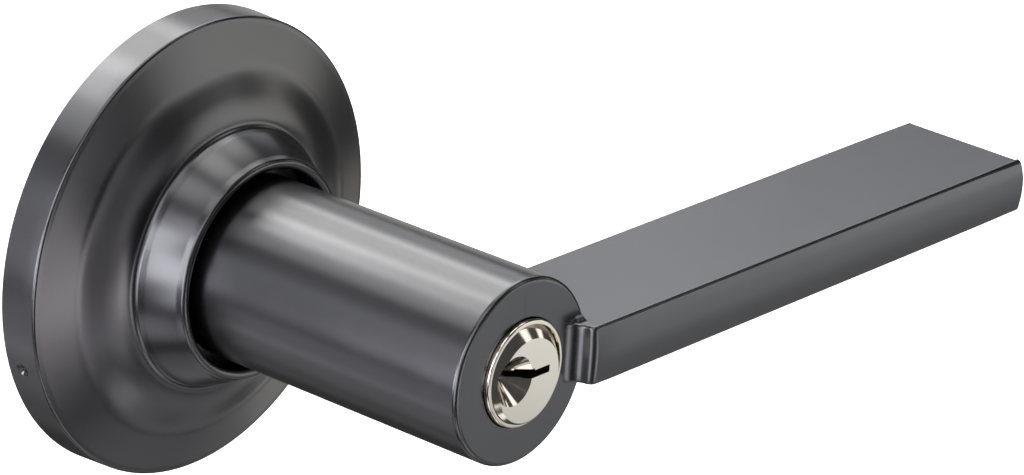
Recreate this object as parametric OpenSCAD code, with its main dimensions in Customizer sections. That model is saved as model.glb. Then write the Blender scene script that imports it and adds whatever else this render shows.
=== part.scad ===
// Keyed entry door lever, the outside half of the lock set: the rose and the spring
// cage behind it, the lever handle on its drive sleeve, and the key cylinder in the hub.
// The origin is the centre of the face that lies on the door. -Y points out of the door,
// +X runs along the blade and the lever turns about Y.
// Inside the modules x is the same, y is up and z is the distance out from the door.

/* [Rose cover] */
// Diameter of the rose where it meets the door
rose_d = 80.8; // [80:0.2:86]
// How much the rim's side draws in on its way to the front, on the radius
rim_taper = 0.2; // [0.1:0.1:1]
// Height of the rim's side
rim_h = 7.2; // [6.6:0.2:9]
// Rounding of the rim's front edge
rim_round = 0.8; // [0.5:0.1:1.2]
// Thickness of the pressed cover
cover_t = 1.2; // [0.8:0.1:1.5]
// Radial width of the sloping field inside the rim
field_w = 7.3; // [6:0.1:7.6]
// How far the field rises from the rim to the step
field_rise = 2.6; // [2:0.1:4]
// Share of the rise that the field's crown brings forward
field_crown = 0.35; // [0.1:0.05:0.6]
// Radial width of the soft step up to the inner band
step_w = 5.4; // [4.6:0.2:6]
// Height of the soft step
step_rise = 2.6; // [2:0.1:3.4]
// Distance of the collar's lip from the door
collar_h = 21.2; // [20:0.2:24]
// How much the collar widens from its lip to its foot, on the radius
collar_flare = 2.7; // [2:0.1:3]
// Bulge of the collar's wall
collar_crown = 0.35; // [0:0.05:0.5]
// Rounding where the collar rises from the band
foot_round = 0.8; // [0.5:0.1:1]
// Width of the collar's rolled lip
lip_w = 1.95; // [1.7:0.05:2.2]
// Gap between the collar's lip and the lever's hub
collar_gap = 1.3; // [1.2:0.1:1.7]
// Number of dimples that snap the cover on its plate
dimple_n = 3; // [3:1:6]
// Direction of the first dimple, turned from the blade about the lever's axis
dimple_at = 197; // [190:1:205]
// Width of a dimple
dimple_d = 1.8; // [1.4:0.1:2.2]
// Depth of a dimple
dimple_deep = 0.6; // [0.4:0.1:0.7]
// Distance of the dimples from the door
dimple_out = 3; // [2.8:0.1:3.4]

/* [Mounting plate] */
// Thickness of the plate's web
plate_t = 2.5; // [2.2:0.1:3]
// Thickness of the plate's turned-up wall
plate_wall = 1.5; // [1.2:0.1:2]
// Height of the turned-up wall
plate_h = 4.6; // [4.4:0.1:4.8]
// Diameter of the shallow relief in the plate's back, which clears the door's bore
relief_d = 55; // [54:0.5:58]
// Depth of the relief
relief_deep = 0.3; // [0.2:0.1:0.5]
// Hole in the plate round the spindle
plate_hole_d = 18; // [14:0.5:20]
// Distance between the two mounting posts
post_pitch = 41.3; // [40:0.1:43]
// Diameter of a mounting post
post_d = 7; // [6.4:0.2:8]
// Length of a post behind the door face
post_len = 17; // [15:1:30]
// Minor diameter of the thread in a post
post_thread_d = 4.2; // [3.6:0.1:4.4]
// Diameter of a post's riveted end
post_neck_d = 5.4; // [5:0.1:6]

/* [Spring cage] */
// Outside diameter of the cage
cage_d = 39.6; // [39:0.2:40]
// Wall of the cage
cage_wall = 1.2; // [1:0.1:1.4]
// Depth inside the cage
cage_deep = 8.4; // [8:0.1:8.8]
// Thickness of the cage's front wall
cage_front_t = 1.4; // [1.2:0.1:1.6]
// Height of the neck in front of the cage
neck_h = 2.3; // [2:0.1:2.6]
// Wall of the neck
neck_wall = 1.9; // [1.5:0.1:2.2]
// Diameter of the cage's flange
flange_d = 55; // [53:0.5:57]
// Thickness of the cage's flange
flange_t = 1.5; // [1.2:0.1:1.8]
// Number of screws in the flange
screw_n = 3; // [3:1:3]
// Distance of the screws from the lever's axis
screw_r = 24.3; // [24:0.1:24.6]
// Direction of the first screw, turned from the blade about the lever's axis
screw_at = 0; // [-10:1:10]
// Thread diameter of a screw
screw_d = 3; // [2.5:0.5:3]
// Head diameter of a screw
screw_head_d = 5.2; // [4.8:0.1:5.4]
// Head height of a screw
screw_head_h = 1.6; // [1.2:0.1:2]
// Wall of the bush in the neck
bush_wall = 1.2; // [0.9:0.1:1.4]
// Thickness of the bush's flange
bush_flange_t = 0.7; // [0.5:0.1:1]

/* [Return spring] */
// Wire of the return spring
wire_d = 1.4; // [1:0.1:1.5]
// Whole turns of the return spring
coil_turns = 3; // [2:1:3]
// Gap between the drive sleeve and the coil
coil_gap = 1.6; // [1.4:0.1:1.8]
// Width of the driver's tab and of the cage's lug
tab_w = 5.2; // [4:0.2:6]
// Thickness of the driver
driver_t = 1.8; // [1.5:0.1:2]
// Furthest the lever turns either way from level, in degrees
lever_swing = 45; // [30:1:50]

/* [Lever] */
// Diameter of the hub at its face
hub_d = 32.4; // [31.8:0.2:32.6]
// How much the hub draws in towards the door, on the radius
hub_draft = 0.25; // [0:0.05:0.5]
// Distance of the hub's face from the door
hub_out = 78.2; // [77.6:0.2:84]
// Rounding of the hub's front edge
hub_round = 0.9; // [0.4:0.1:1.4]
// Thickness of the hub's face
face_wall = 2.7; // [2.2:0.1:3.2]
// Reach of the blade from the lever's axis
blade_reach = 130.8; // [110:0.2:140]
// Height of the blade at the hub
blade_h = 10.3; // [9:0.1:12]
// Height of the blade at its tip
blade_tip_h = 9.6; // [8:0.1:10]
// How far the blade's front stands forward of the hub's face
blade_proud = 3.75; // [2.4:0.05:4]
// Depth of the blade from front to back
blade_deep = 24.7; // [20:0.1:27]
// Radius of the two bends between the hub's face and the blade's front
root_bend = 2.1; // [1.9:0.1:2.4]
// Where the blade's front starts, from the lever's axis
root_x = 14.6; // [14.6:0.1:16]
// Rounding of the tip at the front
tip_front_round = 1.5; // [1:0.1:2.5]
// Rounding of the tip at the back
tip_back_round = 2; // [1.5:0.1:4]
// Bulge of the tip's end between its top and bottom edges
tip_crown = 1.7; // [0.5:0.1:2.5]

/* [Drive] */
// Outside diameter of the drive sleeve
sleeve_d = 24; // [23.6:0.1:24.2]
// Wall of the drive sleeve
sleeve_wall = 1.8; // [1.5:0.1:2]
// Width of the rib that turns the lever with the sleeve
rib_w = 3; // [2:0.2:4]
// Square of the drive spindle across its flats
spindle_w = 8; // [7.6:0.1:8.2]
// Length of the spindle behind the door face
spindle_len = 28; // [24:1:60]
// Bore of the spindle for the tailpiece
spindle_bore_d = 6; // [5.8:0.1:6.2]
// Thickness of the spindle's flange
spindle_flange_t = 2.5; // [2.3:0.1:3]
// Diameter of the pins that fix the spindle in the sleeve
spindle_pin_d = 2; // [1.6:0.1:2]

/* [Lever catch] */
// Distance of the catch from the door
catch_out = 28; // [25:0.5:34]
// Diameter of the catch's nose
catch_d = 3; // [2.6:0.1:3.2]
// How far the catch reaches into the hub's wall
catch_bite = 1.3; // [1:0.1:1.4]
// Thickness of the catch's head
catch_head_t = 1.2; // [1:0.1:1.3]
// Thickness of the bridge under the catch's spring
bridge_t = 1; // [0.8:0.1:1.1]
// Wire of the catch's spring
catch_wire_d = 0.45; // [0.35:0.05:0.5]

/* [Key cylinder] */
// Diameter of the ring that shows in the hub's face
ring_d = 18.6; // [18.4:0.1:19.4]
// How far the ring stands forward of the hub's face
ring_proud = 0.9; // [0.5:0.1:1.5]
// Rounding of the ring's front edge
ring_round = 0.4; // [0.2:0.05:0.5]
// Diameter of the housing behind the ring
housing_d = 20.8; // [20.4:0.1:21.2]
// Length of the housing behind the hub's face wall
housing_len = 27.8; // [27.4:0.1:29]
// Distance from the axis to the top of the pin chambers' block
block_top = 13.6; // [13.3:0.1:13.8]
// Width of the pin chambers' block
block_w = 7.2; // [6.4:0.2:7.6]
// Width of the strip over the pin chambers
strip_w = 4.8; // [4:0.1:5.2]
// Thickness of the strip
strip_t = 0.6; // [0.4:0.1:0.8]
// How far the strip reaches past the axes of the outer pins
strip_past = 2.8; // [2.2:0.1:2.8]
// Diameter of the plug's body
plug_d = 12.7; // [12.3:0.1:13]
// Diameter of the plug's head
head_d = 16.9; // [16.4:0.1:17.1]
// How far the plug's head stands forward of the ring
head_proud = 0.85; // [0.5:0.05:1.2]
// Diameter of the flat on the plug's head
flat_d = 14.5; // [14:0.1:15]
// How far the flat sits below the plug's axis
flat_drop = 0.9; // [0.6:0.1:1.2]
// Slope of the bevel round the flat, in degrees from the plug's axis
bevel_angle = 48; // [40:1:55]
// Width of the keyway at its closed end
keyway_w = 1.3; // [1:0.1:1.6]
// Reach of the keyway from the plug's axis
keyway_reach = 4.9; // [4.4:0.1:5.2]
// Diameter of the bowl that leads the key in
bowl_d = 8.6; // [7.6:0.2:9]
// Distance of the bowl's centre from the plug's axis
bowl_x = 3.7; // [3.4:0.1:4.2]
// Depth of the bowl
bowl_deep = 3.6; // [3:0.1:3.8]
// Number of pin stacks
pin_n = 5; // [4:1:6]
// Distance between pin stacks
pin_pitch = 3.96; // [3.8:0.02:4]
// Distance from the plug's head to the first pin stack
pin_first = 6.2; // [5.6:0.1:6.4]
// Diameter of the pins
pin_d = 2.84; // [2.6:0.02:2.9]
// Length of the driver pins
driver_len = 3.5; // [3:0.1:3.6]
// Length of the shortest key pin
key_pin_len = 4; // [3.6:0.1:4.4]
// Difference between two neighbouring key cuts
cut_step = 0.38; // [0.3:0.02:0.44]
// Wire of the pin springs
pin_wire_d = 0.35; // [0.25:0.05:0.4]
// How far the keyway reaches past the last pin's axis
keyway_past = 2.2; // [1.8:0.1:2.4]
// Width of the tailpiece
tail_w = 4.8; // [4:0.1:5]
// Thickness of the tailpiece
tail_t = 1.6; // [1.2:0.1:1.8]
// Length of the tailpiece beyond the spindle
tail_past = 3; // [2:1:10]

/* [Hidden] */
$fn = 72;

// Clearances: pressed or screwed in, seated, turning on one another, slid on, kept apart
press = 0.02;
seat = 0.05;
run = 0.08;
slip = 0.1;
gap = 0.3;
hair = 0.001;  // lifts a cut off the face it ends on
over = 1;      // how far a cutting shape runs past the face it opens

// Rose cover
rose_r = rose_d/2;
edge_r = rose_r - rim_taper;
field_in = edge_r - rim_round - field_w;
band_r = field_in - step_w;
field_out = rim_h + field_rise;
band_out = field_out + step_rise;
hub_r = hub_d/2;
lip_in = hub_r + collar_gap;
lip_mid = lip_in + lip_w/2;
lip_out = collar_h - lip_w/2;
collar_r = lip_in + lip_w;
foot_r = collar_r + collar_flare;
rim_in = rose_r - cover_t;
under = 1.1*cover_t;       // the sloping sheet's thickness measured along z
corner = 0.5;              // the inside corner below the rim's edge
curl = 0.5;                // how far the lip's end turns in under itself
side_at_dimple = rose_r - rim_taper*dimple_out/(rim_h - rim_round);
dimple_play = 0.2;         // room round a dimple in the plate's wall
bump_deep = 0.8;           // how far a dimple's back stands inside the cover's side

// Mounting plate and posts
plate_r = edge_r - cover_t - slip;
post_r = post_d/2;

// Cross recess in a screw's head
recess_w = 3;
recess_t = 0.7;
recess_deep = 0.9;

// Drive sleeve, bush and spring
sleeve_r = sleeve_d/2;
sleeve_in = sleeve_r - sleeve_wall;
sleeve_lift = 0.5;
sleeve_back = plate_t + sleeve_lift;
flange_inset = 1;
flange_back = sleeve_back + flange_inset;
pin_at = flange_back + spindle_flange_t/2;
corner_cut = 0.38;
spindle_corner_r = spindle_w/sqrt(2) - corner_cut;
cage_r = cage_d/2;
cage_in = cage_r - cage_wall;
cage_lid = plate_t + cage_deep;
cage_top = cage_lid + cage_front_t;
neck_top = cage_top + neck_h;
bush_in = sleeve_r + run;
bush_r = bush_in + bush_wall;
neck_r = bush_r + neck_wall;
bush_top = neck_top + bush_flange_t;
washer_t = 0.5;
clip_t = 0.8;
clip_back = bush_top + washer_t + 2*slip;
clip_deep = 0.5;
clip_w = 1.9;
clip_open = 12;
hub_back = clip_back + clip_t + gap;
driver_front = sleeve_back + driver_t;
coil_in = sleeve_r + coil_gap;
coil_mid = coil_in + wire_d/2;
lug_in = coil_in + wire_d + gap;
lug_t = 1;
lug_out = lug_in + lug_t;
tab_in = lug_out + gap + slip;
tab_out = cage_in - gap - slip;
stop_w = 2;
stop_margin = 4;           // degrees the lever could turn past its limit
leg_bend = 1.2;
leg_x = tab_w/2 + seat + wire_d/2;
coil_first = driver_front + gap + wire_d/2;
coil_last = cage_lid - gap - wire_d/2;

// Lever and cylinder, from the hub's face back towards the door
pocket_front = hub_out - face_wall;
housing_front = pocket_front - 2*slip;
housing_back = housing_front - housing_len;
retainer_t = 2.3;
retainer_back = housing_back - slip - retainer_t;
sleeve_front = retainer_back - slip;
bore_r = sleeve_r + slip;
pocket_r = housing_d/2 + 2*slip;
ring_r = ring_d/2;
ring_front = hub_out + ring_proud;
plug_r = plug_d/2;
shell_r = plug_r + seat;
head_r = head_d/2;
head_inset = 0.45;
head_back = pocket_front + head_inset;
head_front = ring_front + head_proud;
head_seat_r = head_r + slip;
block_room = 0.5;
slot_top = block_top + block_room;
slot_w = block_w + 4*slip;
ring_gap = 0.15;
rib_in = sleeve_in + slip;
rib_lift = 3;
rib_back = hub_back + rib_lift;
rib_root = 0.6;            // how far the rib's foot goes into the hub's wall
blade_out = hub_out + blade_proud;
blade_back = blade_out - blade_deep;

// Plug's back end
stub_step = 1.15;
stub_r = plug_r - stub_step;
stub_len = 2;
plug_back = housing_back - slip;
cap_lip = 0.55;
cap_r = plug_r + cap_lip;
cap_front = plug_back - slip;
cap_floor_t = 1.2;
disc_t = 1.1;
stub_back = plug_back - stub_len;
cap_floor = stub_back - disc_t - 2*seat;
cap_back = cap_floor - cap_floor_t;
disc_r = stub_r - 2*slip - seat;

// Pins: their order is one key's cuts, counted in steps of the shortest pin
key_cuts = [1, 3, 2, 4, 0, 2];
chamber_r = pin_d/2 + run;
shear_in = plug_r - seat - press;
shear_out = shell_r + slip;
strip_in = block_top - strip_t;
pin_tip = 0.9;
pin_point_r = 0.35;
chamber_room = 1.4;
chamber_floor = plug_r - key_pin_len - max(key_cuts)*cut_step - chamber_room;
coil_room = gap;           // between a pin's side and its spring's centre line
pin_turns = 4;

// Keyway: where each ward's side steps along x, and how far it moves out from there
ward_up = [[1.2, 0.35], [-1.6, 0.1]];
ward_down = [[-0.6, -0.2], [-3.4, 0.3]];
bowl_floor_r = 0.8;

// Catch
catch_nose = bore_r + catch_bite;
catch_lip = 1;
catch_seat = sqrt(sleeve_in*sleeve_in - pow(catch_d/2 + catch_lip, 2)) - 2*slip;
catch_base = catch_seat - catch_head_t;
bridge_top = 4.8;
bridge_half = sqrt(sleeve_in*sleeve_in - bridge_top*bridge_top) - seat;
bridge_len = 8;
catch_coil_r = 1.9;
catch_turns = 4;

// Points of an arc about (cx, cz) from angle a to angle b
function arc(cx, cz, r, a, b, n) =
    [for (i = [0:n]) [cx + r*cos(a + (b - a)*i/n), cz + r*sin(a + (b - a)*i/n)]];

// The front of the cover at the share t across the field, then across the soft step
function field_z(t) = rim_h + field_rise*((1 + field_crown)*t - field_crown*t*t);
function step_z(t) = field_out + step_rise*(3*t*t - 2*t*t*t);

// The front of the cover from the rim to the band, dropped by d
function front_points(d) = concat(
    [for (i = [1:6]) let (t = i/6) [edge_r - rim_round - field_w*t, field_z(t) - d]],
    [for (i = [1:10]) let (t = i/10) [field_in - step_w*t, step_z(t) - d]]);

// The collar's wall at the share t from its foot to its lip, drawn in by d
function collar_point(t, d) =
    [foot_r - collar_flare*t + 4*collar_crown*t*(1 - t) - d,
     band_out + foot_round + (lip_out - band_out - foot_round)*t];

// A wire along a path, with a flat end at each side; up is the coil's axis
function unit(v) = v/norm(v);
function along(path, i) =
    unit(path[min(i + 1, len(path) - 1)] - path[max(i - 1, 0)]);
function wire_ring(p, t, r, sides) =
    let (up = unit([0, 0, 1] - t[2]*t), side = cross(t, up))
    [for (k = [0:sides - 1]) p + r*(cos(360*k/sides)*side + sin(360*k/sides)*up)];

module wire(path, d, sides) {
    n = len(path);
    rings = [for (i = [0:n - 1]) each wire_ring(path[i], along(path, i), d/2, sides)];
    skin = [for (i = [0:n - 2], k = [0:sides - 1])
        [i*sides + k, (i + 1)*sides + k,
         (i + 1)*sides + (k + 1)%sides, i*sides + (k + 1)%sides]];
    first = [for (k = [0:sides - 1]) k];
    last = [for (k = [0:sides - 1]) n*sides - 1 - k];
    polyhedron(points = rings, faces = concat([first], skin, [last]), convexity = 10);
}

// A coil's centre line round z, from the height a to the height b
function coil(r, a, b, turns, start, per_turn) =
    let (n = round(turns*per_turn))
    [for (i = [0:n]) let (w = start + 360*turns*i/n)
        [r*cos(w), r*sin(w), a + (b - a)*i/n]];

// Puts a piece that was drawn with z pointing out of the door into the part's frame
module facing() { rotate([90, 0, 0]) children(); }

// A ring or a disc between two distances from the door
module ring(r_out, r_in, back, front) {
    translate([0, 0, back]) difference() {
        cylinder(r = r_out, h = front - back);
        if (r_in > 0)
            translate([0, 0, -over]) cylinder(r = r_in, h = front - back + 2*over);
    }
}

// A round bar that points away from the lever's axis in the direction a
module spoke(r, a, from, to, out) {
    translate([0, 0, out]) rotate([0, 0, a]) rotate([0, 90, 0])
        translate([0, 0, from]) cylinder(r = r, h = to - from);
}

// A block centred on the direction of y, between two radii
module tab(w, r_in, r_out, back, front) {
    intersection() {
        ring(r_out, r_in, back, front);
        translate([-w/2, 0, back]) cube([w, r_out + over, front - back]);
    }
}

// Rose
module rose_cover() {
    wall = [for (i = [0:8]) collar_point(i/8, 0)];
    lining = [for (i = [0:8]) collar_point(1 - i/8, cover_t)];
    slope = atan(field_rise*(1 + field_crown)/field_w);
    side_in = edge_r - cover_t;
    profile = concat(
        [[rose_r, 0]],
        arc(edge_r - rim_round, rim_h - rim_round, rim_round, 0, 90 - slope, 6),
        front_points(0),
        [[foot_r + foot_round, band_out]],
        [for (i = [1:4]) let (a = 270 - 90*i/5)
            [foot_r + foot_round + foot_round*cos(a), band_out + foot_round + foot_round*sin(a)]],
        wall,
        arc(lip_mid, lip_out, lip_w/2, 20, 200, 10),
        [[lip_in + curl, lip_out - lip_w/2]],
        [for (i = [1:8]) if (lining[i][1] < lip_out - lip_w/2 - 2*slip) lining[i]],
        [[foot_r - cover_t + slip, band_out - under]],
        [for (i = [15:-1:6]) front_points(under)[i]],
        [[side_in - corner, rim_h - under], [side_in, rim_h - under - corner], [rim_in, 0]]);
    color("#55565a") facing() difference() {
        union() {
            rotate_extrude($fn = 144) polygon(profile);
            for (i = [0:dimple_n - 1])
                spoke(dimple_d/2 - slip, dimple_at + 360*i/dimple_n,
                      side_in - bump_deep, side_in + cover_t/2, dimple_out);
        }
        for (i = [0:dimple_n - 1])
            spoke(dimple_d/2, dimple_at + 360*i/dimple_n,
                  side_at_dimple - dimple_deep, rose_r + over, dimple_out);
    }
}

module mounting_plate() {
    color("#9a9c9e") facing() difference() {
        union() {
            ring(plate_r, 0, 0, plate_t);
            ring(plate_r, plate_r - plate_wall, plate_t - seat, plate_h);
        }
        translate([0, 0, -over]) cylinder(d = relief_d, h = relief_deep + over);
        translate([0, 0, -over]) cylinder(d = plate_hole_d, h = plate_t + 2*over);
        for (s = [-1, 1]) translate([0, s*post_pitch/2, -over])
            cylinder(d = post_neck_d + 2*press, h = plate_t + 2*over);
        for (i = [0:screw_n - 1]) rotate([0, 0, screw_at + 360*i/screw_n])
            translate([screw_r, 0, -over]) cylinder(d = screw_d + 2*press, h = plate_t + 2*over);
        for (i = [0:dimple_n - 1])
            spoke(dimple_d/2 + dimple_play, dimple_at + 360*i/dimple_n,
                  plate_r - plate_wall - over, plate_r + over, dimple_out);
    }
}

module mounting_posts() {
    color("#b5b6b4") facing() for (s = [-1, 1]) translate([0, s*post_pitch/2, 0])
        difference() {
            union() {
                translate([0, 0, -post_len]) cylinder(r = post_r, h = post_len + relief_deep);
                translate([0, 0, relief_deep - seat])
                    cylinder(d = post_neck_d, h = plate_t - relief_deep + seat);
            }
            translate([0, 0, -post_len - over])
                cylinder(d = post_thread_d, h = post_len + plate_t + 2*over);
        }
}

module spring_cage() {
    stop = lever_swing + asin(tab_w/2/tab_in) + stop_margin;
    color("#8e9092") facing() difference() {
        union() {
            ring(flange_d/2, cage_in, plate_t, plate_t + flange_t);
            ring(cage_r, cage_in, plate_t, cage_top);
            ring(cage_r, bush_r + seat/2, cage_lid, cage_top);
            ring(neck_r, bush_r + seat/2, cage_lid, neck_top);
            tab(tab_w, lug_in, lug_out, driver_front + gap, cage_lid + seat);
            for (s = [-1, 1]) rotate([0, 0, s*stop])
                tab(stop_w, tab_in, cage_in + seat, driver_front + gap, cage_lid + seat);
        }
        for (i = [0:screw_n - 1]) rotate([0, 0, screw_at + 360*i/screw_n])
            translate([screw_r, 0, plate_t - over])
                cylinder(d = screw_d + 4*slip, h = flange_t + 2*over);
    }
}

module cage_screws() {
    color("#c2c3c1") facing() for (i = [0:screw_n - 1])
        rotate([0, 0, screw_at + 360*i/screw_n]) translate([screw_r, 0, plate_t + flange_t])
            difference() {
                union() {
                    translate([0, 0, -plate_t - flange_t + relief_deep])
                        cylinder(d = screw_d, h = plate_t + flange_t - relief_deep);
                    cylinder(d = screw_head_d, h = screw_head_h);
                }
                for (a = [0, 90]) rotate([0, 0, a])
                    translate([-recess_w/2, -recess_t/2, screw_head_h - recess_deep])
                        cube([recess_w, recess_t, recess_deep + over]);
            }
}

module neck_bush() {
    color("#c39a55") facing() union() {
        ring(bush_r, bush_in, cage_lid + slip, bush_top);
        ring(neck_r - slip, bush_in, neck_top + press, bush_top);
    }
}

// Both legs of the spring lie against the cage's lug and against the driver's tab
module return_spring() {
    lean = asin(leg_x/coil_mid);
    turn_start = 90 + lean;
    turns = coil_turns - 2*lean/360;
    body = coil(coil_mid, coil_first, coil_last, turns, turn_start, 22);
    leg_end = tab_out - 2*slip;
    path = concat(
        [[-leg_x, leg_end, coil_first], [-leg_x, coil_mid + leg_bend, coil_first]],
        [for (i = [1:len(body) - 2]) body[i]],
        [[leg_x, coil_mid + leg_bend, coil_last], [leg_x, leg_end, coil_last]]);
    color("#a8a9a6") facing() wire(path, wire_d, 8);
}

module spring_driver() {
    color("#a2a4a4") facing() union() {
        ring(tab_in, sleeve_r + press, sleeve_back, driver_front);
        tab(tab_w, tab_in - seat, tab_out, sleeve_back, cage_lid - gap);
    }
}

// Drive
module drive_sleeve() {
    color("#b0b1ae") facing() difference() {
        ring(sleeve_r, sleeve_in, sleeve_back, sleeve_front);
        ring(sleeve_r + over, sleeve_r - clip_deep, clip_back - seat, clip_back + clip_t + seat);
        translate([-rib_w/2 - slip, 0, rib_back - gap])
            cube([rib_w + 2*slip, sleeve_r + over, sleeve_front]);
        spoke(catch_d/2 + slip, 270, sleeve_in - over, sleeve_r + over, catch_out);
        for (a = [0, 180])
            spoke(spindle_pin_d/2 + press, a, sleeve_in - over, sleeve_r + over, pin_at);
    }
}

module sleeve_circlip() {
    clip_r = sleeve_r + clip_w;
    color("#7d7f80") facing() difference() {
        ring(clip_r, sleeve_r - clip_deep + seat, clip_back, clip_back + clip_t);
        translate([-clip_open/2, -clip_r - over, clip_back - over])
            cube([clip_open, clip_r, clip_t + 2*over]);
    }
}

module thrust_washer() {
    color("#b9bab6") facing()
        ring(neck_r - 2*gap, sleeve_r + 2*slip, bush_top + seat, bush_top + seat + washer_t);
}

module drive_spindle() {
    color("#a5a7a6") facing() difference() {
        union() {
            ring(sleeve_in - press, 0, flange_back, flange_back + spindle_flange_t);
            intersection() {
                translate([-spindle_w/2, -spindle_w/2, -spindle_len])
                    cube([spindle_w, spindle_w, spindle_len + flange_back + seat]);
                translate([0, 0, -spindle_len])
                    cylinder(r = spindle_corner_r, h = spindle_len + flange_back + seat);
            }
        }
        translate([0, 0, -spindle_len - over])
            cylinder(d = spindle_bore_d, h = spindle_len + flange_back + spindle_flange_t + 2*over);
        for (a = [0, 180])
            spoke(spindle_pin_d/2 + press, a, spindle_corner_r + over, sleeve_in + over, pin_at);
    }
}

module spindle_pins() {
    color("#c7c8c5") facing() for (a = [0, 180])
        spoke(spindle_pin_d/2, a, spindle_corner_r + over + slip, sleeve_r - slip, pin_at);
}

// Lever
// The blade seen from above: a bend rises from the hub's face to the blade's front
module blade_plan() {
    turn = 2*atan(blade_proud/(root_x - root_start()));
    polygon(concat(
        [[root_start() - over, hub_out - seat]],
        arc(root_start(), hub_out + root_bend, root_bend, 270, 270 + turn, 6),
        arc(root_x, blade_out - root_bend, root_bend, 90 + turn, 90, 6),
        arc(blade_reach - tip_front_round, blade_out - tip_front_round, tip_front_round, 90, 0, 6),
        arc(blade_reach - tip_back_round, blade_back + tip_back_round, tip_back_round, 0, -90, 8),
        [[root_start() - over, blade_back]]));
}

// Where the first bend leaves the hub's face, so that both bends meet at one slope
function root_start() = root_x - sqrt(blade_proud*(4*root_bend - blade_proud));

module blade() {
    root_half = blade_h/2;
    tip_half = blade_tip_h/2;
    end_r = (tip_half*tip_half + tip_crown*tip_crown)/(2*tip_crown);
    end_turn = asin(tip_half/end_r);
    intersection() {
        rotate([90, 0, 0]) translate([0, 0, -blade_h])
            linear_extrude(height = 2*blade_h) blade_plan();
        translate([0, 0, blade_back - over]) linear_extrude(height = blade_deep + 2*over)
            polygon(concat([[0, -root_half], [hub_r, -root_half]],
                           arc(blade_reach - end_r, 0, end_r, -end_turn, end_turn, 8),
                           [[hub_r, root_half], [0, root_half]]));
    }
}

module lever_handle() {
    color("#4c4d52") facing() union() {
        difference() {
            union() {
                rotate_extrude($fn = 144) polygon(concat(
                    [[0, hub_back], [hub_r - hub_draft, hub_back]],
                    arc(hub_r - hub_round, hub_out - hub_round, hub_round, 0, 90, 6),
                    [[0, hub_out]]));
                blade();
            }
            translate([0, 0, hub_back - over]) cylinder(r = bore_r, h = housing_back - hub_back + over);
            translate([0, 0, hub_back - over]) cylinder(r = pocket_r, h = pocket_front - hub_back + over);
            cylinder(r = ring_r + ring_gap, h = hub_out + over);
            translate([0, -slot_w/2, hub_back - over])
                cube([slot_top, slot_w, pocket_front - hub_back + over]);
            spoke(catch_d/2 + 2*slip, 270, sleeve_r - over, hub_r + over, catch_out);
        }
        translate([-rib_w/2, rib_in, rib_back])
            cube([rib_w, bore_r - rib_in + rib_root, sleeve_front - rib_back - over]);
    }
}

module lever_catch() {
    color("#b3b4b1") facing() union() {
        spoke(catch_d/2, 270, catch_base, catch_nose, catch_out);
        spoke(catch_d/2 + catch_lip, 270, catch_base, catch_seat, catch_out);
    }
}

module catch_spring() {
    low = bridge_top + catch_wire_d/2 + press;
    high = catch_base - catch_wire_d/2 - press;
    color("#a8a9a6") facing() translate([0, 0, catch_out]) rotate([90, 0, 0])
        wire(coil(catch_coil_r, low, high, catch_turns, 0, 14), catch_wire_d, 6);
}

module catch_bridge() {
    color("#9fa09e") facing()
        translate([-bridge_half, -bridge_top, catch_out - bridge_len/2])
            cube([2*bridge_half, bridge_t, bridge_len]);
}

// Key cylinder
module cylinder_retainer() {
    color("#8f9193") facing()
        ring(bore_r - slip, cap_r + gap + slip, retainer_back, retainer_back + retainer_t);
}

// Where pin stack i stands
function pin_out(i) = head_back - pin_first - pin_pitch*i;

// The two ends of the covering strip over the pin chambers
function strip_front() = pin_out(0) + strip_past;
function strip_back() = pin_out(pin_n - 1) - strip_past;

module cylinder_housing() {
    color("#cfc6b4") facing() difference() {
        union() {
            ring(housing_d/2, 0, housing_back, housing_front);
            rotate_extrude() polygon(concat(
                [[0, housing_front - seat], [ring_r, housing_front - seat]],
                arc(ring_r - ring_round, ring_front - ring_round, ring_round, 0, 90, 6),
                [[0, ring_front]]));
            translate([0, -block_w/2, housing_back])
                cube([block_top, block_w, housing_len]);
        }
        translate([0, 0, housing_back - over]) cylinder(r = shell_r, h = housing_len + 2*over);
        translate([0, 0, head_back - seat]) cylinder(r = head_seat_r, h = ring_front);
        for (i = [0:pin_n - 1])
            spoke(chamber_r, 0, plug_r - over, block_top + over, pin_out(i));
        translate([strip_in, -strip_w/2, strip_back()])
            cube([strip_t + over, strip_w, strip_front() - strip_back()]);
    }
}

module chamber_cap() {
    color("#c5b98d") facing()
        translate([strip_in + press, -strip_w/2 + seat, strip_back() + seat])
            cube([strip_t - press, strip_w - 2*seat, strip_front() - strip_back() - 2*seat]);
}

// One side of the keyway from its closed end, stepping at each ward
function keyway_side(wards) = concat(
    [[keyway_reach, keyway_w/2]],
    [for (i = [0:len(wards) - 1]) let (before = i > 0 ? wards[i - 1][1] : 0)
        each [[wards[i][0], keyway_w/2 + before], [wards[i][0], keyway_w/2 + wards[i][1]]]],
    [[-plug_r - over, keyway_w/2 + wards[len(wards) - 1][1]]]);

module keyway() {
    upper = keyway_side(ward_up);
    lower = keyway_side(ward_down);
    polygon(concat(upper, [for (i = [len(lower) - 1:-1:0]) [lower[i][0], -lower[i][1]]]));
}

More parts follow.
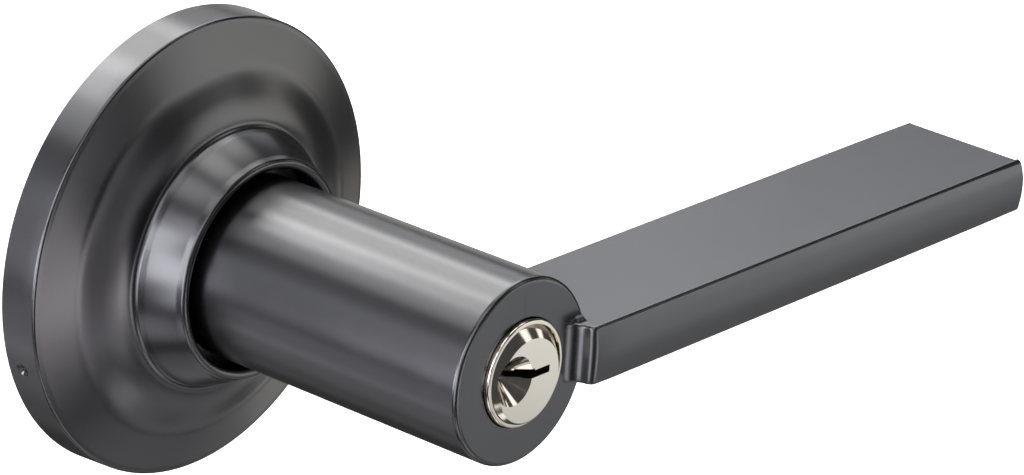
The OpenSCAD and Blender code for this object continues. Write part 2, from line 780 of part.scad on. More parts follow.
module cylinder_plug() {
    spread = tan(bevel_angle);
    color("#c9c1b3") facing() difference() {
        union() {
            ring(plug_r, 0, plug_back, head_back + seat);
            ring(stub_r, 0, stub_back, plug_back + seat);
            intersection() {
                ring(head_r, 0, head_back, head_front);
                translate([0, -flat_drop, head_back])
                    cylinder(r1 = flat_d/2 + (head_front - head_back)*spread, r2 = flat_d/2,
                             h = head_front - head_back);
            }
        }
        translate([0, 0, pin_out(pin_n - 1) - keyway_past])
            linear_extrude(height = head_front) keyway();
        translate([-bowl_x, 0, head_front - bowl_deep])
            cylinder(r1 = bowl_floor_r, r2 = bowl_d/2 + hair, h = bowl_deep + hair);
        for (i = [0:pin_n - 1])
            spoke(chamber_r, 0, chamber_floor, plug_r + over, pin_out(i));
    }
}

// The tops of the key pins follow the plug, as a key lifts them to the shear line
module key_pins() {
    color("#c8a455") facing() intersection() {
        ring(shear_in, 0, pin_out(pin_n - 1) - pin_pitch, pin_out(0) + pin_pitch);
        for (i = [0:pin_n - 1]) {
            low = plug_r - key_pin_len - cut_step*key_cuts[i];
            union() {
                spoke(pin_d/2, 0, low + pin_tip, plug_r, pin_out(i));
                translate([low, 0, pin_out(i)]) rotate([0, 90, 0])
                    cylinder(r1 = pin_point_r, r2 = pin_d/2, h = pin_tip + hair);
            }
        }
    }
}

module driver_pins() {
    color("#c8a455") facing() for (i = [0:pin_n - 1])
        spoke(pin_d/2, 0, shear_out, shear_out + driver_len, pin_out(i));
}

module pin_springs() {
    low = shear_out + driver_len + pin_wire_d/2 + press;
    high = strip_in - pin_wire_d/2;
    color("#a8a9a6") facing() for (i = [0:pin_n - 1])
        translate([0, 0, pin_out(i)]) rotate([0, 90, 0])
            wire(coil(pin_d/2 - coil_room, low, high, pin_turns, 0, 12), pin_wire_d, 6);
}

module plug_cap() {
    color("#c8a455") facing() union() {
        ring(cap_r, stub_r + seat, cap_floor - seat, cap_front);
        ring(cap_r, tail_w/2 + 2*gap, cap_back, cap_floor);
    }
}

module tailpiece() {
    start = -spindle_len - tail_past;
    color("#c2c3c1") facing() union() {
        ring(disc_r, 0, cap_floor + seat, cap_floor + seat + disc_t);
        translate([-tail_t/2, -tail_w/2, start])
            cube([tail_t, tail_w, cap_floor + 2*seat - start]);
    }
}

rose_cover();
mounting_plate();
mounting_posts();
spring_cage();
cage_screws();
neck_bush();
return_spring();
spring_driver();
drive_sleeve();
sleeve_circlip();
thrust_washer();
drive_spindle();
spindle_pins();
lever_handle();
lever_catch();
catch_spring();
catch_bridge();
cylinder_retainer();
cylinder_housing();
chamber_cap();
cylinder_plug();
key_pins();
driver_pins();
pin_springs();
plug_cap();
tailpiece();
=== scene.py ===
import math

import bmesh
import bpy
from mathutils import Matrix, Vector


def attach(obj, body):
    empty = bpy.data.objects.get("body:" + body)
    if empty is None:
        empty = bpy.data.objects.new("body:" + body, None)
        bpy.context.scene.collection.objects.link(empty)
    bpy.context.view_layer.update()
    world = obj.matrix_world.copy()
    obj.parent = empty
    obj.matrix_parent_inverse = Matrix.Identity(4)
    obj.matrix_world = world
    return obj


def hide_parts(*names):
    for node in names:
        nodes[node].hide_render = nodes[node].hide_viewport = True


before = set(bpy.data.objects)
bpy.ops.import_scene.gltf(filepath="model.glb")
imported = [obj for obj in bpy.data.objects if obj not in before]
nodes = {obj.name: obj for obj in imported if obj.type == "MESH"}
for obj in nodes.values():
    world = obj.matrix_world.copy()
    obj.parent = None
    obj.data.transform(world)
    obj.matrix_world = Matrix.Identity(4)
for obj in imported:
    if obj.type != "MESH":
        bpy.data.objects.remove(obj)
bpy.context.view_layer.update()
mm = 0.001
print("frame loaded with", len(nodes), "nodes")


# Shared helpers. Lengths are millimetres: x along the blade, up, and out from the door.
def spot(x, up, out):
    return Vector((x, -out, up)) * mm


def arcPoints(cx, cy, radius, first, last, steps):
    points = []
    for i in range(steps + 1):
        angle = math.radians(first + (last - first) * i / steps)
        points.append((cx + radius * math.cos(angle), cy + radius * math.sin(angle)))
    return points


def blendStep(value, low, high):
    t = min(max((value - low) / (high - low), 0), 1)
    return t * t * (3 - 2 * t)


def newPiece(name, bm):
    bmesh.ops.recalc_face_normals(bm, faces=bm.faces)
    mesh = bpy.data.meshes.new(name)
    bm.to_mesh(mesh)
    bm.free()
    piece = bpy.data.objects.new(name, mesh)
    bpy.context.scene.collection.objects.link(piece)
    return piece


def turnedPiece(name, profile, angles, pushIn=None):
    # a closed outline of (radius, out) points, turned about the lever's axis
    bm = bmesh.new()
    rings = []
    for radius, out in profile:
        if radius < 1e-6:  # on the axis itself
            rings.append([bm.verts.new(spot(0, 0, out))])
            continue
        ring = []
        for angle in angles:
            reach = radius - (pushIn(radius, angle, out) if pushIn else 0)
            turn = math.radians(angle)
            ring.append(bm.verts.new(spot(reach * math.cos(turn), reach * math.sin(turn), out)))
        rings.append(ring)
    count = len(angles)
    for i, ring in enumerate(rings):
        following = rings[(i + 1) % len(rings)]
        for k in range(count):
            n = (k + 1) % count
            if len(ring) == 1 and len(following) == 1:
                continue
            if len(ring) == 1:
                bm.faces.new((ring[0], following[k], following[n]))
            elif len(following) == 1:
                bm.faces.new((ring[k], following[0], ring[n]))
            else:
                bm.faces.new((ring[k], following[k], following[n], ring[n]))
    return newPiece(name, bm)


def evenAngles(count):
    return [360 * k / count for k in range(count)]


def boxPiece(name, low, high):
    bm = bmesh.new()
    made = bmesh.ops.create_cube(bm, size=1)
    for vert in made["verts"]:
        x, up, out = [low[i] + (high[i] - low[i]) * (vert.co[i] + 0.5) for i in range(3)]
        vert.co = spot(x, up, out)
    return newPiece(name, bm)


def barPiece(name, radius, start, end):
    # a round bar between two points given in the shared frame
    axis = end - start
    bm = bmesh.new()
    turn = axis.to_track_quat("Z", "Y").to_matrix().to_4x4()
    place = Matrix.Translation((start + end) / 2) @ turn
    bmesh.ops.create_cone(bm, cap_ends=True, segments=48, radius1=radius * mm,
                          radius2=radius * mm, depth=axis.length, matrix=place)
    return newPiece(name, bm)


def combine(piece, tool, operation):
    step = piece.modifiers.new(operation.lower(), "BOOLEAN")
    step.operation = operation
    step.solver = "EXACT"
    step.object = tool
    applyModifiers(piece)
    bpy.data.objects.remove(tool)


def applyModifiers(piece):
    bpy.context.view_layer.update()
    seen = piece.evaluated_get(bpy.context.evaluated_depsgraph_get())
    mesh = bpy.data.meshes.new_from_object(seen)
    mesh.name = piece.name
    piece.modifiers.clear()
    piece.data = mesh


def smoothPiece(piece, degrees):
    piece.data.shade_smooth()
    piece.data.set_sharp_from_angle(angle=math.radians(degrees))


def dress(piece, material):
    piece.data.materials.clear()
    piece.data.materials.append(material)


# Finishes
def newMaterial(name):
    material = bpy.data.materials.new(name)
    material.use_nodes = True
    tree = material.node_tree
    return material, tree, tree.nodes["Principled BSDF"]


def addNode(tree, kind, settings=None, inputs=None):
    node = tree.nodes.new(kind)
    for key, value in (settings or {}).items():
        setattr(node, key, value)
    for key, value in (inputs or {}).items():
        node.inputs[key].default_value = value
    return node


def metalFinish(name, dark, light, smooth, rough, mottle, grain, grainHeight, stretch=(1, 1, 1)):
    # mottle and grain are sizes in millimetres, grainHeight is in micrometres
    material, tree, shader = newMaterial(name)
    shader.inputs["Metallic"].default_value = 1
    where = addNode(tree, "ShaderNodeTexCoord")
    drawn = addNode(tree, "ShaderNodeMapping", {}, {"Scale": stretch})
    patches = addNode(tree, "ShaderNodeTexNoise", {}, {"Scale": 1 / (mottle * mm), "Detail": 3})
    tint = addNode(tree, "ShaderNodeMix", {"data_type": "RGBA"})
    tint.inputs[6].default_value = (*dark, 1)  # the mix node's colour sockets A and B
    tint.inputs[7].default_value = (*light, 1)
    spread = addNode(tree, "ShaderNodeMapRange", {}, {"To Min": smooth, "To Max": rough})
    peel = addNode(tree, "ShaderNodeTexNoise", {}, {"Scale": 1 / (grain * mm), "Detail": 2})
    bump = addNode(tree, "ShaderNodeBump", {}, {"Strength": 1, "Distance": grainHeight * 1e-6})
    link = tree.links.new
    link(where.outputs["Object"], drawn.inputs["Vector"])
    link(drawn.outputs["Vector"], patches.inputs["Vector"])
    link(drawn.outputs["Vector"], peel.inputs["Vector"])
    link(patches.outputs["Fac"], tint.inputs["Factor"])
    link(tint.outputs[2], shader.inputs["Base Color"])
    link(patches.outputs["Fac"], spread.inputs["Value"])
    link(spread.outputs["Result"], shader.inputs["Roughness"])
    link(peel.outputs["Fac"], bump.inputs["Height"])
    link(bump.outputs["Normal"], shader.inputs["Normal"])
    return material


satinGraphite = metalFinish("satinGraphite", (0.118, 0.120, 0.127), (0.134, 0.135, 0.142),
                            0.24, 0.27, mottle=9, grain=0.35, grainHeight=4.5)
nickel = metalFinish("nickel", (0.77, 0.715, 0.635), (0.81, 0.755, 0.675),
                     0.09, 0.15, mottle=4, grain=0.25, grainHeight=0.4)
zincSteel = metalFinish("zincSteel", (0.52, 0.53, 0.54), (0.64, 0.65, 0.65),
                        0.30, 0.44, mottle=6, grain=0.5, grainHeight=4)
springSteel = metalFinish("springSteel", (0.36, 0.36, 0.37), (0.46, 0.46, 0.47),
                          0.22, 0.32, mottle=3, grain=0.2, grainHeight=2)
bronze = metalFinish("bronze", (0.50, 0.33, 0.18), (0.62, 0.42, 0.23),
                     0.32, 0.46, mottle=2, grain=0.12, grainHeight=5)
brass = metalFinish("brass", (0.66, 0.48, 0.22), (0.78, 0.58, 0.28),
                    0.18, 0.26, mottle=3, grain=0.2, grainHeight=1)
print("finishes made")


# Rose cover: the pressed and painted disc with its rim, soft step, collar and rolled lip
rose = {
    "outside": 40.4, "edge": 40.2, "rimHeight": 7.2, "rimRound": 0.6,
    # the front's steepness at radii from the rim to the collar's foot
    "slopes": ((39.4, 0.33), (33.4, 0.31), (32.6, 0.23), (31.2, 0.44), (30, 0.50), (28.2, 0.50),
               (27, 0.44), (25.8, 0.37), (24.8, 0.29), (23.9, 0.20), (20, 0.15)),
    "footRadius": 22.3, "footRound": 1.5, "collarFlare": 2.85, "collarCrown": 0.1,
    "lipMiddle": 18.475, "lipOut": 20.225, "lipRound": 0.975, "lipCurl": 0.5,
    "sheet": 1.2,
    "dimpleAngles": (199, 319), "dimpleOut": 3, "dimpleRadius": 1.23, "dimpleDeep": 0.5,
    # spacing of the mesh: rings on the front in millimetres, columns in degrees
    "ringStep": 0.3, "columnStep": 1.5, "dimpleStep": 0.15, "dimpleSpan": 2.2,
}


def roseFront(radius):
    # how far out the sheet's front stands at this radius
    out = rose["rimHeight"]
    slopes = rose["slopes"]
    for (far, farSlope), (near, nearSlope) in zip(slopes, slopes[1:]):
        if radius >= far:
            break
        reach = far - max(radius, near)
        endSlope = farSlope + (nearSlope - farSlope) * reach / (far - near)
        out += reach * (farSlope + endSlope) / 2
    return out


def collarWall(t, inward):
    # a point of the collar's wall, from its foot at 0 to its lip at 1
    foot = roseFront(rose["footRadius"] + rose["footRound"]) + rose["footRound"]
    radius = rose["footRadius"] - rose["collarFlare"] * t + 4 * rose["collarCrown"] * t * (1 - t)
    return radius - inward, foot + (rose["lipOut"] - foot) * t


def roseOutline():
    fieldStart = rose["edge"] - rose["rimRound"]
    footMiddle = rose["footRadius"] + rose["footRound"]
    footOut = roseFront(footMiddle) + rose["footRound"]
    slope = math.degrees(math.atan(rose["slopes"][0][1]))
    lean = (rose["outside"] - rose["edge"]) / (rose["rimHeight"] - rose["rimRound"])
    rows = [0, 0.6, 1.2] + [1.6 + 0.1 * i for i in range(29)]  # fine across the dimples
    outline = [(rose["outside"] - lean * out, out) for out in rows]
    outline += arcPoints(fieldStart, rose["rimHeight"] - rose["rimRound"], rose["rimRound"],
                         0, 90 - slope, 10)
    radius = fieldStart - 0.35
    while radius > footMiddle + 0.1:
        outline.append((radius, roseFront(radius)))
        radius -= rose["ringStep"]
    outline += arcPoints(footMiddle, footOut, rose["footRound"], 264, 202, 10)
    outline += [collarWall(i / 20, 0) for i in range(1, 20)]
    outline += arcPoints(rose["lipMiddle"], rose["lipOut"], rose["lipRound"], 20, 200, 16)
    outline.append((rose["lipMiddle"] - rose["lipRound"] + rose["lipCurl"],
                    rose["lipOut"] - rose["lipRound"]))
    outline += [collarWall(1 - i / 8, rose["sheet"]) for i in range(2, 9)]
    under = 1.1 * rose["sheet"]  # the sheet's thickness, measured along the axis
    for i in range(16):
        radius = rose["footRadius"] - 1.1 + i * (fieldStart - rose["footRadius"] - 0.4) / 15
        outline.append((radius, roseFront(max(radius, footMiddle)) - under))
    outline.append((rose["outside"] - rose["sheet"], 0))
    return outline


def roseAngles():
    # even columns, with fine ones across each dimple
    angles = [rose["columnStep"] * k for k in range(round(360 / rose["columnStep"]))]
    fine = [rose["dimpleStep"] * k for k in range(-13, 14)]
    for middle in rose["dimpleAngles"]:
        angles = [angle for angle in angles if abs(angle - middle) > rose["dimpleSpan"]]
        angles += [middle + away for away in fine]
    return sorted(angles)


def dimpleDepth(radius, angle, out):
    # only the rim's side is pressed in
    if radius < rose["edge"] - 0.3 or out > rose["dimpleOut"] + 2 or out < 0.2:
        return 0
    for middle in rose["dimpleAngles"]:
        across = math.radians(angle - middle) * rose["outside"]
        away = math.hypot(across, out - rose["dimpleOut"]) / rose["dimpleRadius"]
        if away < 1:
            return rose["dimpleDeep"] * (1 - away * away) ** 1.5
    return 0


roseCover = turnedPiece("roseCover", roseOutline(), roseAngles(), dimpleDepth)
smoothPiece(roseCover, 40)
dress(roseCover, satinGraphite)
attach(roseCover, "rose")
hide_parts("rose_cover")
print("rose cover made")


# Lever handle: hub and blade in one casting
lever = {
    "hubRadius": 16.2, "hubDraft": 0.25, "hubBack": 17.1, "hubFront": 78.2, "hubRound": 0.9,
    "bore": 12.1, "boreFront": 47.5, "pocket": 10.6, "pocketFront": 75.5,
    "faceHole": 9.45, "faceHoleRound": 0.15,
    "slotTop": 14.1, "slotWidth": 7.6,
    "releaseOut": 28, "releaseRadius": 1.7, "releaseFrom": -11, "releaseTo": -17,
    "ribWidth": 3, "ribIn": 10.3, "ribBack": 20.1, "ribFront": 44,
    "bladeOut": 81.95, "bladeBack": 57.25, "bladeReach": 130.8,
    "rootHalf": 5.15, "tipHalf": 4.8, "rootStart": 10.42, "rootEnd": 14.6,
    "hollowBend": 2.9, "roundBend": 1.3, "bendTurn": 83.8,
    "tipFrontRound": 1.5, "tipBackRound": 2, "tipCrown": 1.7,
    "edgeRound": 0.5, "tipEdgeRound": 0.7, "tipEdgeSpan": (117, 127),
    # how far the blade's front bulges above and below its middle, and where that starts
    "upperCrown": 0.65, "lowerCrown": 0.4, "crownSpan": (12, 18), "tipSpan": (60, 120),
    "filletRound": 1.3,
}


def roundPoints(centre, radius, first, last, steps, facing=1):
    return [((x, out), (facing * (x - centre[0]) / radius, facing * (out - centre[1]) / radius))
            for x, out in arcPoints(*centre, radius, first, last, steps)]


def straightPoints(start, end, steps, away):
    return [((start[0] + (end[0] - start[0]) * i / steps, start[1] + (end[1] - start[1]) * i / steps),
             away) for i in range(1, steps)]


def bladeOutline():
    # points of the blade seen from above, each with the direction that faces away from it
    hollow, crest, turn = lever["hollowBend"], lever["roundBend"], lever["bendTurn"]
    front, back, reach = lever["bladeOut"], lever["bladeBack"], lever["bladeReach"]
    frontRound, backRound = lever["tipFrontRound"], lever["tipBackRound"]
    inside = lever["rootStart"] - 1  # the blade starts inside the hub
    hollowCentre = (lever["rootStart"], lever["hubFront"] + hollow)
    crestCentre = (lever["rootEnd"], front - crest)
    frontCentre = (reach - frontRound, front - frontRound)
    backCentre = (reach - backRound, back + backRound)
    outline = [((inside, lever["hubFront"] - 0.05), (-0.7, 0.7))]
    outline += roundPoints(hollowCentre, hollow, 270, 270 + turn, 16, facing=-1)
    outline += roundPoints(crestCentre, crest, 90 + turn, 90, 16)
    outline += straightPoints((lever["rootEnd"], front), (frontCentre[0], front), 32, (0, 1))
    outline += roundPoints(frontCentre, frontRound, 90, 0, 10)
    outline += straightPoints((reach, frontCentre[1]), (reach, backCentre[1]), 8, (1, 0))
    outline += roundPoints(backCentre, backRound, 0, -90, 12)
    outline += straightPoints((backCentre[0], back), (inside, back), 24, (0, -1))
    outline.append(((inside, back), (-0.7, -0.7)))
    return outline


def bladeHalf(x):
    # half of the blade's height, which narrows towards the tip
    share = (x - lever["hubRadius"]) / (lever["bladeReach"] - lever["hubRadius"])
    return lever["rootHalf"] + (lever["tipHalf"] - lever["rootHalf"]) * share


def tipFall(up):
    # how far the tip's crowned end falls back at this height
    half, crown = lever["tipHalf"], lever["tipCrown"]
    radius = (half * half + crown * crown) / (2 * crown)
    return radius - math.sqrt(radius * radius - min(abs(up), half) ** 2)


def bladeColumn(point, away):
    # one upright line of points at the outline, from the top face round to the bottom face
    x, out = point
    rounding = lever["edgeRound"]
    rounding += (lever["tipEdgeRound"] - rounding) * blendStep(x, *lever["tipEdgeSpan"])
    bulge = max(away[1], 0) ** 2 * blendStep(x, *lever["crownSpan"])
    half = bladeHalf(x)
    steps, rows = 6, 8
    turns = [math.radians(90 * i / steps) for i in range(steps + 1)]
    column = [(rounding * (1 - math.sin(turn)), rounding * (1 - math.cos(turn))) for turn in turns]
    column += [(0, rounding + 2 * (half - rounding) * i / rows) for i in range(1, rows)]
    column += [(rounding * (1 - math.sin(turn)), 2 * half - rounding * (1 - math.cos(turn)))
               for turn in reversed(turns)]
    placed = []
    for inset, down in column:
        share = (half - down) / half
        fallBack = (lever["upperCrown"] if share > 0 else lever["lowerCrown"]) * share * share
        shift = inset - bulge * (lever["upperCrown"] - fallBack)
        px, pout = x - away[0] * shift, out - away[1] * shift
        # the top and bottom faces lie in planes that draw in towards the tip
        up = (half - down) * bladeHalf(px) / half
        fall = tipFall(up) * max(away[0], 0) * blendStep(x, *lever["tipSpan"])
        placed.append(spot(px - fall, up, pout))
    return placed


def bladeArm():
    bm = bmesh.new()
    columns = []
    for point, away in bladeOutline():
        columns.append([bm.verts.new(place) for place in bladeColumn(point, away)])
    for i, column in enumerate(columns):
        following = columns[(i + 1) % len(columns)]
        for k in range(len(column) - 1):
            bm.faces.new((column[k], following[k], following[k + 1], column[k + 1]))
    bm.faces.new([column[0] for column in columns])
    bm.faces.new([column[-1] for column in reversed(columns)])
    return newPiece("bladeArm", bm)


def leverCasting():
    radius, front, rounding = lever["hubRadius"], lever["hubFront"], lever["hubRound"]
    back, draft = lever["hubBack"], lever["hubDraft"]
    chamfer = 0.3
    outside = [(0, back), (radius - draft - chamfer, back), (radius - draft, back + chamfer)]
    outside += [(radius - draft * (1 - i / 6), back + (front - rounding - back) * i / 6)
                for i in range(1, 6)]
    outside += arcPoints(radius - rounding, front - rounding, rounding, 0, 90, 10)
    outside.append((0, front))
    casting = turnedPiece("leverHandle", outside, evenAngles(192))
    combine(casting, bladeArm(), "UNION")
    combine(casting, rootFillet(), "UNION")
    edge = lever["faceHoleRound"]
    hollow = [(0, back - 1), (lever["bore"], back - 1),
              (lever["bore"], lever["boreFront"]), (lever["pocket"], lever["boreFront"]),
              (lever["pocket"], lever["pocketFront"]), (lever["faceHole"], lever["pocketFront"])]
    hollow += arcPoints(lever["faceHole"] + edge, front - edge, edge, 180, 90, 4)
    hollow += [(lever["faceHole"] + edge, front + 1), (0, front + 1)]
    combine(casting, turnedPiece("hollow", hollow, evenAngles(144)), "DIFFERENCE")
    half = lever["slotWidth"] / 2
    combine(casting, boxPiece("slot", (0, -half, back - 1),
                              (lever["slotTop"], half, lever["pocketFront"])), "DIFFERENCE")
    out = lever["releaseOut"]
    combine(casting, barPiece("release", lever["releaseRadius"], spot(0, lever["releaseFrom"], out),
                              spot(0, lever["releaseTo"], out)), "DIFFERENCE")
    half = lever["ribWidth"] / 2
    combine(casting, boxPiece("rib", (-half, lever["ribIn"], lever["ribBack"]),
                              (half, lever["bore"] + 0.6, lever["ribFront"])), "UNION")
    return casting


def rootFillet():
    # the small hollow rounding between the hub's face and the top of the blade's root
    front, start, bend = lever["hubFront"], lever["rootStart"], lever["hollowBend"]
    sunk = 0.3  # how deep it is set into the hub and the blade
    bm = bmesh.new()
    rows = []
    for i in range(25):
        x = start + 0.2 + (lever["hubRadius"] - 0.4 - start) * i / 24
        swept = min(x - start, bend)
        rounding = min(lever["filletRound"], bend - math.sqrt(bend * bend - swept * swept))
        top = bladeHalf(x)
        row = [(front - sunk, top - sunk), (front - sunk, top + rounding)]
        row += arcPoints(front + rounding, top + rounding, rounding, 180, 270, 8)
        row.append((front + rounding, top - sunk))
        rows.append([bm.verts.new(spot(x, up, out)) for out, up in row])
    for row, following in zip(rows, rows[1:]):
        for k in range(len(row)):
            n = (k + 1) % len(row)
            bm.faces.new((row[k], following[k], following[n], row[n]))
    bm.faces.new(rows[0])
    bm.faces.new(list(reversed(rows[-1])))
    fillet = newPiece("rootFillet", bm)
    edge = lever["hubRadius"] - sunk
    disc = [(0, front - 2), (edge, front - 2), (edge, front + 4), (0, front + 4)]
    combine(fillet, turnedPiece("trim", disc, evenAngles(192)), "INTERSECT")
    return fillet


def trueHubNormals(piece):
    # the hub's round surfaces keep their exact directions beside the blade
    weight = piece.modifiers.new("weight", "WEIGHTED_NORMAL")
    weight.keep_sharp = True
    applyModifiers(piece)
    mesh = piece.data
    normals = [Vector(corner.vector) for corner in mesh.corner_normals]
    radius, rounding, slack = lever["hubRadius"], lever["hubRound"], 0.01
    roundStart = lever["hubFront"] - rounding
    for face in mesh.polygons:
        for index in face.loop_indices:
            place = mesh.vertices[mesh.loops[index].vertex_index].co / mm
            reach, out = math.hypot(place.x, place.z), -place.y
            onHub = radius - rounding - slack <= reach <= radius + slack
            if not onHub or out < lever["hubBack"] + 0.31:
                continue
            exact = Vector((place.x / reach, 0, place.z / reach))
            if out >= roundStart + slack:
                exact = exact * (reach - radius + rounding) + Vector((0, roundStart - out, 0))
                exact.normalize()
            if exact.dot(face.normal) > 0.985:  # leaves the blade's own faces alone
                normals[index] = exact
    mesh.normals_split_custom_set(normals)


leverHandle = leverCasting()
smoothPiece(leverHandle, 28)
trueHubNormals(leverHandle)
dress(leverHandle, satinGraphite)
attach(leverHandle, "lever")
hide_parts("lever_handle")
print("lever handle made")


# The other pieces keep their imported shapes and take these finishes
finishOf = {
    "mounting_plate": zincSteel, "mounting_posts": zincSteel, "spring_cage": zincSteel,
    "cage_screws": zincSteel, "spring_driver": zincSteel, "drive_sleeve": zincSteel,
    "drive_spindle": zincSteel, "tailpiece": zincSteel, "cylinder_retainer": zincSteel,
    "catch_bridge": zincSteel, "lever_catch": zincSteel, "spindle_pins": springSteel,
    "return_spring": springSteel, "sleeve_circlip": springSteel, "thrust_washer": springSteel,
    "catch_spring": springSteel, "pin_springs": springSteel, "neck_bush": bronze,
    "cylinder_housing": nickel, "cylinder_plug": nickel, "chamber_cap": brass,
    "key_pins": brass, "driver_pins": brass, "plug_cap": brass,
}
for name, finish in finishOf.items():
    for materialSlot in nodes[name].material_slots:
        materialSlot.material = finish
print("packed pieces finished")


# Camera, at the photograph's angle
view = {"azimuth": 50.531, "elevation": 21.964, "roll": 3.628, "lens": 236.78,
        "place": (-776.22, -713.54, 427.96)}


def addCamera():
    azimuth, elevation, roll = [math.radians(view[key]) for key in ("azimuth", "elevation", "roll")]
    ahead = Vector((math.cos(elevation) * math.sin(azimuth),
                    math.cos(elevation) * math.cos(azimuth), -math.sin(elevation)))
    level = Vector((math.cos(azimuth), -math.sin(azimuth), 0))
    upright = level.cross(ahead)
    right = level * math.cos(roll) + upright * math.sin(roll)
    top = upright * math.cos(roll) - level * math.sin(roll)
    data = bpy.data.cameras.new("camera")
    data.lens = view["lens"]
    data.sensor_width = 36
    data.clip_start = 0.05
    camera = bpy.data.objects.new("camera", data)
    bpy.context.scene.collection.objects.link(camera)
    turn = Matrix((right, top, -ahead)).transposed().to_4x4()
    camera.matrix_world = Matrix.Translation(Vector(view["place"]) * mm) @ turn
    bpy.context.scene.camera = camera


addCamera()


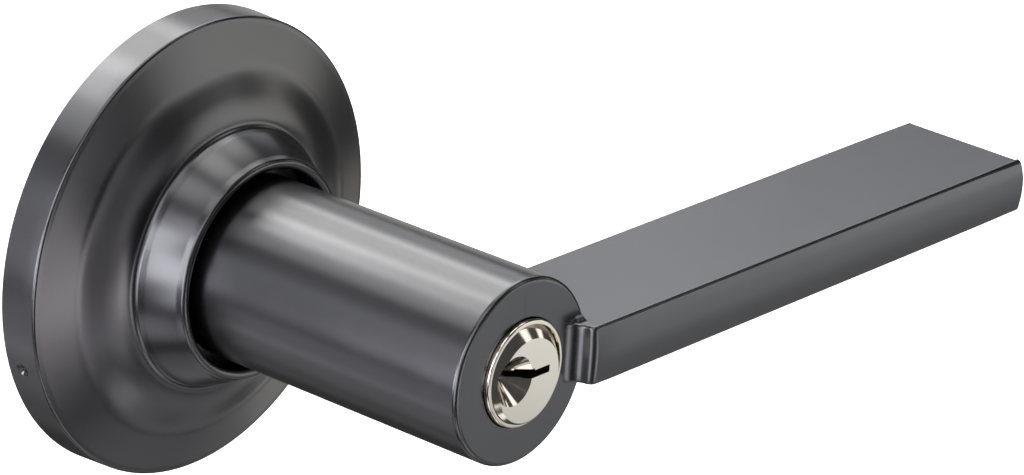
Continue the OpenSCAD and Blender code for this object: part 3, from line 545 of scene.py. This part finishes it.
# Studio: a pale floor well below the part, soft boxes round it and a dim room
studio = {
    "aim": (30, 0, 45), "floorDrop": 300, "floorHalf": 9000, "floorTone": (0.93, 0.93, 0.93),
    "floorGlow": 1.0, "room": (0.06, 0.06, 0.06), "boxDistance": 2.2,  # metres
    # each box: where it hangs as seen from the part, its side in metres, watts and tint
    "softBoxes": [
        ((0.76, 0.40, 0.51), 0.80, 2.78, (0.95, 0.96, 1.00)),
        ((0.72, -0.59, -0.37), 1.25, 2.00, (1.00, 1.00, 1.00)),
        ((-0.03, 0.74, 0.68), 0.80, 13.15, (1.00, 0.99, 0.96)),
        ((0.64, -0.76, 0.12), 0.80, 2.55, (1.00, 0.99, 0.93)),
        ((0.18, 0.56, 0.81), 0.80, 5.64, (1.00, 0.99, 0.94)),
        ((0.26, -0.92, -0.31), 0.80, 3.49, (1.00, 0.95, 0.94)),
        ((-0.37, 0.53, 0.76), 0.80, 3.08, (0.99, 0.99, 1.00)),
        ((0.87, -0.49, -0.01), 0.80, 2.19, (1.00, 0.98, 0.89)),
        ((-0.94, 0.33, -0.07), 0.80, 14.95, (0.96, 0.95, 1.00)),
        ((0.62, 0.69, 0.38), 0.80, 1.49, (0.98, 0.98, 1.00)),
        ((0.72, -0.65, -0.23), 0.80, 0.94, (0.92, 0.98, 1.00)),
        ((0.53, 0.44, 0.72), 0.80, 6.17, (1.00, 1.00, 0.99)),
        ((0.05, -0.85, -0.52), 0.80, 1.77, (1.00, 0.96, 1.00)),
        ((-0.62, 0.60, -0.51), 0.80, 1.31, (0.98, 0.95, 1.00)),
        ((-0.97, -0.22, 0.01), 0.80, 9.48, (0.97, 0.97, 1.00)),
        ((0.40, 0.70, 0.59), 0.80, 4.52, (1.00, 0.99, 0.93)),
        ((-0.86, 0.44, 0.28), 0.80, 2.46, (0.95, 0.95, 1.00)),
        ((-0.38, 0.58, -0.73), 0.80, 1.05, (0.97, 0.95, 1.00)),
        ((-0.93, -0.09, 0.36), 0.80, 7.80, (0.98, 0.97, 1.00)),
        ((0.68, -0.17, -0.71), 0.80, 0.73, (1.00, 0.96, 0.96)),
        ((0.13, 0.00, 0.99), 0.80, 4.47, (1.00, 0.99, 0.95)),
        ((0.42, -0.44, -0.79), 0.80, 0.82, (1.00, 0.98, 0.99)),
        ((-0.62, 0.67, 0.41), 0.80, 1.00, (0.93, 0.93, 1.00)),
        ((-0.88, -0.33, -0.34), 0.80, 4.92, (0.93, 0.93, 1.00)),
        ((0.14, -0.99, 0.04), 0.80, 0.96, (0.98, 0.97, 1.00)),
        ((-0.37, -0.07, 0.92), 0.80, 3.14, (1.00, 0.99, 1.00)),
        ((0.48, 0.18, 0.86), 0.80, 4.08, (1.00, 0.99, 0.95)),
        ((0.09, -0.48, -0.88), 0.80, 2.14, (1.00, 0.98, 0.99)),
        ((-0.78, -0.25, 0.57), 0.80, 2.92, (0.94, 0.93, 1.00)),
        ((-0.63, 0.05, -0.77), 0.80, 1.80, (0.98, 0.95, 1.00)),
        ((0.87, -0.03, -0.49), 0.80, 1.18, (1.00, 0.96, 0.89)),
        ((-0.38, -0.42, -0.82), 0.80, 2.66, (1.00, 0.98, 0.95)),
        ((-0.01, 0.59, -0.81), 0.80, 0.37, (1.00, 0.96, 0.96)),
        ((-0.08, -0.98, -0.18), 0.80, 0.70, (1.00, 0.95, 0.97)),
        ((0.58, -0.48, 0.66), 0.62, 1.60, (1.00, 1.00, 0.98)),
        ((0.11, 0.18, -0.98), 1.40, 2.35, (0.98, 0.98, 1.00)),
        ((0.80, 0.59, -0.06), 0.80, 1.07, (1.00, 0.99, 0.96)),
        ((0.93, -0.20, 0.28), 0.36, 0.54, (1.00, 0.98, 0.93)),
        ((0.72, 0.37, -0.59), 0.60, 0.64, (1.00, 1.00, 0.98)),
        # fill for the back and the sides, hardly seen from the front
        ((0.35, 0.92, -0.20), 1.20, 5.00, (1, 1, 1)),
        ((-0.20, 0.97, -0.10), 1.20, 4.00, (1, 1, 1)),
        ((0.15, 0.88, 0.46), 0.90, 4.00, (1, 1, 1)),
        ((-0.72, -0.55, 0.42), 0.90, 4.00, (1, 1, 1)),
        ((-0.48, -0.58, 0.66), 0.80, 2.50, (1, 1, 1)),
        ((-0.22, -0.43, 0.88), 0.80, 2.50, (1, 1, 1)),
        ((-0.83, -0.54, -0.12), 0.80, 3.00, (1, 1, 1)),
    ],
}


def addFloor():
    half = studio["floorHalf"]
    bm = bmesh.new()
    corners = [(-half, half), (half, half), (half, -half), (-half, -half)]
    bm.faces.new([bm.verts.new(Vector((x, y, -studio["floorDrop"])) * mm) for x, y in corners])
    floor = newPiece("floor", bm)
    material, tree, shader = newMaterial("paleFloor")
    shader.inputs["Base Color"].default_value = (*studio["floorTone"], 1)
    shader.inputs["Roughness"].default_value = 0.9
    shader.inputs["Emission Color"].default_value = (1, 1, 1, 1)
    shader.inputs["Emission Strength"].default_value = studio["floorGlow"]
    dress(floor, material)
    floor.visible_glossy = False  # the boxes below it light the part too
    floor.visible_shadow = False


def addSoftBox(name, towards, side, watts, tint):
    data = bpy.data.lights.new(name, "AREA")
    data.shape = "SQUARE"
    data.size = side
    data.energy = watts
    data.color = tint
    light = bpy.data.objects.new(name, data)
    bpy.context.scene.collection.objects.link(light)
    away = Vector(towards).normalized()
    light.location = spot(*studio["aim"]) + away * studio["boxDistance"]
    light.rotation_euler = away.to_track_quat("Z", "Y").to_euler()


def addRoom():
    world = bpy.data.worlds.new("room")
    world.use_nodes = True
    world.node_tree.nodes["Background"].inputs["Color"].default_value = (*studio["room"], 1)
    bpy.context.scene.world = world
    settings = bpy.context.scene.view_settings
    settings.view_transform = "Standard"
    settings.look = "None"


addFloor()
for count, softBox in enumerate(studio["softBoxes"]):
    addSoftBox("softBox%02d" % count, *softBox)
addRoom()
print("camera, floor and lights set")
